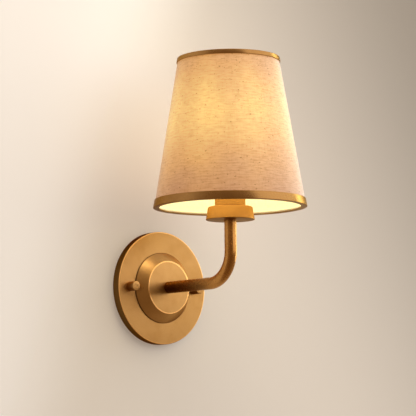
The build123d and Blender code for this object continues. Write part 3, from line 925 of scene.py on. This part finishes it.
class WALLLIGHT_OT_cup(Operator):
    """Turns the cup at the arm's top and the sleeve round the lamp socket"""

    bl_idname = "wall_light.cup"
    bl_label = "Cup and sleeve"

    def execute(self, context):
        sizes, colours = context.scene.light_sizes, context.scene.light_colours

        # Painted shade on the cup's underside.
        def floor(finish):
            height = finish.split(finish.place, "Z")
            return height.band(ARM_TOP + 0.3 * MM, ARM_TOP - 0.1 * MM) * 0.8

        finish = brass(
            "cup_brass", deeper(colours.brass_bright), deeper(colours.brass_dark), "lamp", 0.36, 0.35,
            painted_shade=floor,
        )
        seat = SLEEVE_RADIUS + SKIN_GAP
        outline = rounded(
            [
                (ARM_BORE, ARM_TOP),
                (CUP_BOTTOM_RADIUS, ARM_TOP),
                (CUP_TOP_RADIUS, CUP_TOP),
                (seat, CUP_TOP),
                (seat, ARM_TOP + CUP_FLOOR),
                (ARM_BORE, ARM_TOP + CUP_FLOOR),
            ],
            {1: 0.5 * MM, 2: 2.0 * MM, 3: 0.3 * MM},
            8,
        )
        cup = on_lamp(turned("arm_cup", outline, 128))
        stand_for(cup, "fixture", "cup", finish)
        outline = rounded(
            [
                (SLEEVE_RADIUS - SLEEVE_WALL, sleeve_low.z),
                (SLEEVE_RADIUS, sleeve_low.z),
                (SLEEVE_RADIUS, sleeve_high.z),
                (SLEEVE_RADIUS - SLEEVE_WALL, sleeve_high.z),
            ],
            {2: 0.3 * MM},
            3,
        )
        sleeve = on_lamp(turned("brass_sleeve", outline, 96))
        stand_for(sleeve, "fixture", "socket_sleeve", finish)
        return {"FINISHED"}


class WALLLIGHT_OT_trim(Operator):
    """Turns the two metal bands that grip the shade's edges"""

    bl_idname = "wall_light.trim"
    bl_label = "Trim bands"

    def execute(self, context):
        sizes, colours = context.scene.light_sizes, context.scene.light_colours
        finish = brass(
            "trim_metal", colours.trim_bright, colours.trim_dark, "lamp", 0.28, 0.4,
            edge=(0.62, 0.50, 0.33), coat=0.14,
        )
        top = lower_band_high.z
        web = SHADE_LOW + WEB_THICKNESS
        outline = rounded(
            [
                (SHADE_LOW_RADIUS - LOWER_WEB, SHADE_LOW),
                (SHADE_LOW_RADIUS, SHADE_LOW),
                (shade_radius(top, 0), top),
                (shade_radius(top, BAND_THICKNESS), top),
                (shade_radius(web, BAND_THICKNESS), web),
                (SHADE_LOW_RADIUS - LOWER_WEB, web),
            ],
            {0: 0.35 * MM, 1: 0.4 * MM, 2: 0.4 * MM},
            5,
        )
        lower = on_lamp(turned("lower_band", outline, sizes.facets))
        stand_for(lower, "shade", "bottom_trim_band", finish)
        low = upper_band_low.z
        web = SHADE_HIGH - WEB_THICKNESS
        outline = rounded(
            [
                (SHADE_HIGH_RADIUS - UPPER_WEB, SHADE_HIGH),
                (SHADE_HIGH_RADIUS, SHADE_HIGH),
                (shade_radius(low, 0), low),
                (shade_radius(low, BAND_THICKNESS), low),
                (shade_radius(web, BAND_THICKNESS), web),
                (SHADE_HIGH_RADIUS - UPPER_WEB, web),
            ],
            {0: 0.35 * MM, 1: 0.4 * MM, 2: 0.4 * MM},
            5,
        )
        upper = on_lamp(turned("upper_band", outline, sizes.facets))
        stand_for(upper, "shade", "top_trim_band", finish)
        return {"FINISHED"}


class WALLLIGHT_OT_linen(Operator):
    """Stretches the linen cone with its seam over the liner"""

    bl_idname = "wall_light.linen"
    bl_label = "Linen and liner"

    seam_width = 9.0 * MM
    seam_height = 0.30 * MM

    def execute(self, context):
        sizes, colours = context.scene.light_sizes, context.scene.light_colours
        low, high = linen_low.z, linen_high.z
        inset = BAND_THICKNESS + SKIN_GAP
        rows = sizes.rows
        outline = []
        for row in range(rows + 1):
            height = low + (high - low) * row / rows
            outline.append((shade_radius(height, inset + 0.02 * MM), height))
        cloth = on_lamp(turned("linen_shade", outline, CLOTH_FACETS, closed=False))
        self.lay_out(cloth, outline)
        for vertex in cloth.data.vertices:
            out = Vector((vertex.co.x, vertex.co.y - LAMP_Y, 0)).normalized()
            edge = min(vertex.co.z - low, high - vertex.co.z)
            ease = min(1.0, edge / (12 * MM))
            sway = noise.noise(vertex.co * 55.0) + 0.5 * noise.noise(vertex.co * 140.0)
            seam = self.seam_share(vertex.co)
            vertex.co += out * (sizes.sway * sway * ease + self.seam_height * seam * ease)
        apply_modifier(cloth, "SOLIDIFY", thickness=LINEN_THICKNESS - 0.05 * MM, offset=-1.0)
        settle(cloth)
        stand_for(cloth, "shade", "shade_fabric", linen(colours))
        lower_r, upper_r = outline[0][0], outline[-1][0]
        slant = hypot(high - low, lower_r - upper_r)
        area = pi * (lower_r + upper_r) * slant
        reach = slant * lower_r / (lower_r - upper_r)
        half = pi * lower_r / reach
        flat = (2 * reach * sin(half), reach - (reach - slant) * cos(half))

        low, high = liner_low.z, liner_high.z
        inset = BAND_THICKNESS + LINEN_THICKNESS + 2 * SKIN_GAP
        outline = [
            (shade_radius(low, inset), low),
            (shade_radius(high, inset), high),
            (shade_radius(high, inset + LINER_THICKNESS), high),
            (shade_radius(low, inset + LINER_THICKNESS), low),
        ]
        liner = on_lamp(turned("pale_liner", outline, sizes.facets))
        stand_for(liner, "shade", "shade_liner", lit_liner())
        return {"FINISHED"}

    def seam_share(self, place):
        """1 over the lapped seam, which faces the wall, and 0 beside it."""
        across = abs(place.x)
        if place.y < LAMP_Y:
            return 0.0
        edge = self.seam_width / 2
        return max(0.0, min(1.0, (edge - across) / (1.0 * MM) + 0.5))

    def lay_out(self, cloth, outline):
        """A UV map in metres of cloth: round the shade and up its slant."""
        mesh = cloth.data
        layer = mesh.uv_layers.new(name="cloth")
        middle = (outline[0][0] + outline[-1][0]) / 2
        lean = sqrt(1 + SLOPE**2)
        for polygon in mesh.polygons:
            centre_turn = atan2(polygon.center.x, LAMP_Y - polygon.center.y)
            for loop in polygon.loop_indices:
                place = mesh.vertices[mesh.loops[loop].vertex_index].co
                turn = atan2(place.x, LAMP_Y - place.y)
                if turn - centre_turn > pi:
                    turn -= 2 * pi
                elif centre_turn - turn > pi:
                    turn += 2 * pi
                layer.data[loop].uv = (turn * middle, (place.z - outline[0][1]) * lean)


class WALLLIGHT_OT_bulb(Operator):
    """Turns the clear globe of the bulb"""

    bl_idname = "wall_light.bulb"
    bl_label = "Bulb"

    def execute(self, context):
        outside = self.half(0.0, glass_low.z)
        inside = self.half(BULB_WALL, glass_low.z + BULB_WALL)
        outer = turned("bulb_globe", outside, 96, closed=False)
        inner = turned("bulb_inside", inside, 96, closed=False)
        deselect()
        inner.select_set(True)
        bpy.context.view_layer.objects.active = inner
        bpy.ops.object.mode_set(mode="EDIT")
        bpy.ops.mesh.select_all(action="SELECT")
        bpy.ops.mesh.flip_normals()
        bpy.ops.object.mode_set(mode="OBJECT")
        outer.select_set(True)
        bpy.context.view_layer.objects.active = outer
        bpy.ops.object.join()
        on_lamp(outer)
        stand_for(outer, "bulb", "bulb_glass", clear_glass("bulb_clear", (1.0, 0.96, 0.88)))
        return {"FINISHED"}

    def half(self, inset, foot):
        """(radius, height) points from the neck's foot round the flare and over the globe."""
        globe, flare, neck = BULB_RADIUS - inset, BULB_FLARE + inset, BULB_NECK - inset
        flare_x = BULB_NECK + BULB_FLARE
        drop = sqrt((BULB_RADIUS + BULB_FLARE) ** 2 - flare_x**2)
        flare_z = GLOBE_CENTRE - drop
        turn = atan2(drop, flare_x)
        points = [(neck * 0.02, foot), (neck, foot), (neck, flare_z)]
        for step in range(1, 13):
            angle = turn * step / 12
            points.append((flare_x - flare * cos(angle), flare_z + flare * sin(angle)))
        for step in range(1, 33):
            angle = -turn + (pi / 2 + turn) * step / 32
            points.append((globe * cos(angle), GLOBE_CENTRE + globe * sin(angle)))
        return points


class WALLLIGHT_OT_hardware(Operator):
    """Gives every node that keeps its solid a finish of its own kind"""

    bl_idname = "wall_light.hardware"
    bl_label = "Hidden hardware"

    def execute(self, context):
        colours = context.scene.light_colours
        steel = plain("zinc_plate", (0.60, 0.60, 0.58), (0.44, 0.44, 0.42), 1.0, 0.38, 500.0)
        bright = plain("raw_brass_part", (0.80, 0.60, 0.30), (0.62, 0.42, 0.17), 1.0, 0.3, 600.0)
        wire = plain("white_wire", (0.84, 0.82, 0.76), (0.72, 0.69, 0.62), 0.0, 0.4, 700.0, 0.3)
        plastic = plain("socket_plastic", (0.80, 0.77, 0.70), (0.70, 0.66, 0.58), 0.0, 0.5, 800.0)
        ceramic = plain("socket_ceramic", (0.86, 0.84, 0.80), (0.74, 0.71, 0.66), 0.0, 0.35, 400.0, 0.4)
        finishes = {
            steel: (
                "mounting_plate", "threaded_studs", "stud_lock_nuts", "rear_nipple", "rear_washer",
                "rear_hex_nut", "riser_nipple", "cup_lock_nut",
            ),
            bright: ("terminal_screws", "screw_shell", "centre_contact"),
            wire: ("shade_frame", "bottom_wire_ring"),
            plastic: ("socket_base", "socket_skirt", "shade_retaining_ring"),
            ceramic: ("terminal_block",),
            plain("green_enamel", (0.10, 0.34, 0.15), (0.07, 0.24, 0.10), 0.6, 0.4, 500.0): (
                "ground_screw",
            ),
            plain("live_sleeving", (0.05, 0.05, 0.05), (0.09, 0.09, 0.09), 0.0, 0.55): ("live_lead",),
            plain("neutral_sleeving", (0.80, 0.79, 0.75), (0.68, 0.67, 0.62), 0.0, 0.55): (
                "neutral_lead",
            ),
            plain("tip_solder", (0.55, 0.55, 0.54), (0.38, 0.38, 0.37), 1.0, 0.4, 900.0): (
                "bulb_contact",
            ),
            plain("cap_glass", (0.03, 0.03, 0.04), (0.06, 0.06, 0.07), 0.0, 0.2, 700.0, 0.6): (
                "bulb_insulator",
            ),
            plain("cap_nickel", (0.72, 0.70, 0.66), (0.55, 0.52, 0.47), 1.0, 0.32, 700.0): (
                "bulb_cap",
            ),
            plain("lit_filament", (1.0, 0.72, 0.30), (1.0, 0.85, 0.5), 0.0, 0.5, 900.0, 0.0, 6.0): (
                "bulb_filaments",
            ),
            clear_glass("stem_clear", (0.97, 0.97, 0.94)): ("bulb_stem",),
        }
        for material, nodes in finishes.items():
            for node in nodes:
                dress(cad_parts[node], material)
        return {"FINISHED"}


class WALLLIGHT_PT_panel(Panel):
    """Lists the wall light's operators and what a user may change"""

    bl_idname = "WALLLIGHT_PT_panel"
    bl_label = "Fabric shade wall light"
    bl_space_type = "VIEW_3D"
    bl_region_type = "UI"
    bl_category = "Wall Light"

    def draw(self, context):
        for group in (context.scene.light_sizes, context.scene.light_colours):
            box = self.layout.box()
            for name in group.__annotations__:
                box.prop(group, name)
        for operator in OPERATORS:
            self.layout.operator(operator.bl_idname)


OPERATORS = (
    WALLLIGHT_OT_stage,
    WALLLIGHT_OT_wall_plate,
    WALLLIGHT_OT_thumb_nuts,
    WALLLIGHT_OT_arm,
    WALLLIGHT_OT_cup,
    WALLLIGHT_OT_trim,
    WALLLIGHT_OT_linen,
    WALLLIGHT_OT_bulb,
    WALLLIGHT_OT_hardware,
)
CLASSES = (LightSizes, LightColours, *OPERATORS, WALLLIGHT_PT_panel)


def register():
    for cls in CLASSES:
        bpy.utils.register_class(cls)
    bpy.types.Scene.light_sizes = PointerProperty(type=LightSizes)
    bpy.types.Scene.light_colours = PointerProperty(type=LightColours)


def unregister():
    del bpy.types.Scene.light_colours
    del bpy.types.Scene.light_sizes
    for cls in reversed(CLASSES):
        bpy.utils.unregister_class(cls)


def main():
    """Registers the add-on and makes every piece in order."""
    register()
    for operator in OPERATORS:
        group, name = operator.bl_idname.split(".")
        getattr(getattr(bpy.ops, group), name)()


if __name__ == "__main__":
    main()
